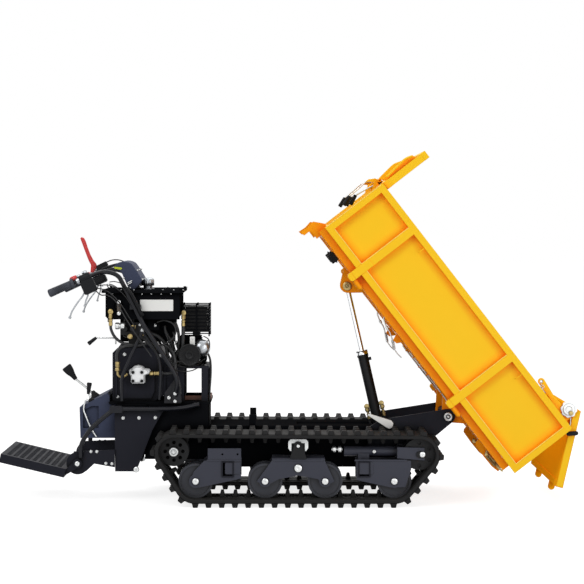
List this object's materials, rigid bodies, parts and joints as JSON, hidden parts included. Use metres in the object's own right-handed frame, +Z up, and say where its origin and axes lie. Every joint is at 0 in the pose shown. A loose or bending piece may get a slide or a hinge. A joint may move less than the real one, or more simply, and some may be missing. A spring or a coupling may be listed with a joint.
{
  "type": "tracked dumper",
  "caption": "Walk-behind tracked dumper with a hydraulically tipping dropside load bed, top-hung tailgate and folding operator platform.",
  "frame": {"origin": "on the ground under the middle of the whole machine", "axes": "+X towards the discharge end, +Y to the operator's left, +Z up"},
  "size_m": [3.1614, 0.98, 1.8881],
  "materials": {
    "dark_paint": "satin dark paint, worn at the edges",
    "yellow_paint": "gloss yellow paint",
    "orange_paint": "gloss orange paint",
    "slate_paint": "satin slate paint",
    "grey_paint": "satin grey paint",
    "rubber": "matt black rubber",
    "zinc": "zinc plated",
    "aluminium": "cast",
    "chrome": "polished rod",
    "cast_iron": "black finned casting",
    "plastic": "black moulded",
    "red_plastic": "red moulded"
  },
  "bodies": {
    "chassis": {"main_frame": "dark_paint", "cross_tubes": "dark_paint", "hinge_plates": "dark_paint", "track_left": "rubber", "track_right": "rubber", "sprocket_left": "cast_iron", "sprocket_right": "cast_iron", "idler_left": "dark_paint", "idler_right": "dark_paint", "road_rollers_left": "dark_paint", "road_rollers_right": "dark_paint", "roller_brackets_left": "dark_paint", "roller_brackets_right": "dark_paint", "bogie_left": "dark_paint", "bogie_right": "dark_paint", "carrier_rollers": "zinc", "tensioners": "dark_paint", "station_plates": "dark_paint", "gearbox": "dark_paint", "gear_pump": "aluminium", "hydraulic_tank": "dark_paint", "valve_block": "grey_paint", "handlebar_left": "dark_paint", "handlebar_right": "dark_paint", "grips": "rubber", "switch_boxes": "plastic", "control_levers": "red_plastic", "cowl": "slate_paint", "console": "plastic", "guard_rail": "dark_paint", "engine": "cast_iron", "muffler": "grey_paint", "muffler_guard": "zinc", "engine_stand": "dark_paint", "hoses": "rubber"},
    "bed": {"bed_floor": "orange_paint", "bed_frame": "orange_paint", "headboard": "yellow_paint", "rear_posts": "yellow_paint", "bed_fittings": "rubber"},
    "drop_side_left": {"side_left": "yellow_paint"},
    "drop_side_right": {"side_right": "yellow_paint"},
    "tailgate": {"tailgate": "yellow_paint"},
    "ram_barrel": {"cylinder_barrel": "dark_paint"},
    "ram_rod": {"cylinder_rod": "chrome"},
    "operator_platform": {"platform": "dark_paint"}
  },
  "joints": [
    {"name": "bed_tip", "type": "hinge", "parent": "chassis", "child": "bed", "pos_m": [0.874, 0, 0.467], "axis": [0, 1, 0], "range_deg": [-52.3, 0]},
    {"name": "ram_pivot", "type": "hinge", "parent": "chassis", "child": "ram_barrel", "pos_m": [0.516, 0, 0.339], "axis": [0, 1, 0], "range_deg": [-63.74, 0]},
    {"name": "ram_stroke", "type": "slide", "parent": "ram_barrel", "child": "ram_rod", "axis": [-0.2221, 0, 0.975], "range_m": [-0.30523, 0]},
    {"name": "left_side_drop", "type": "hinge", "parent": "bed", "child": "drop_side_left", "pos_m": [0.36981, 0.47, 1.19457], "axis": [0.6115, 0, -0.7912], "range_deg": [-90, 0]},
    {"name": "right_side_drop", "type": "hinge", "parent": "bed", "child": "drop_side_right", "pos_m": [0.36981, -0.47, 1.19457], "axis": [0.6115, 0, -0.7912], "range_deg": [0, 90]},
    {"name": "tailgate_swing", "type": "hinge", "parent": "bed", "child": "tailgate", "pos_m": [1.45821, 0, 0.52547], "axis": [0, 1, 0], "range_deg": [-50, 38]},
    {"name": "platform_fold", "type": "hinge", "parent": "chassis", "child": "operator_platform", "pos_m": [-1.168, 0, 0.213], "axis": [0, 1, 0], "range_deg": [0, 76]}
  ],
  "couplings": [
    {"joint": "ram_pivot", "follows": "bed_tip", "ratio": 1.2185},
    {"joint": "ram_stroke", "follows": "bed_tip", "m_per_rad": 0.33433}
  ]
}
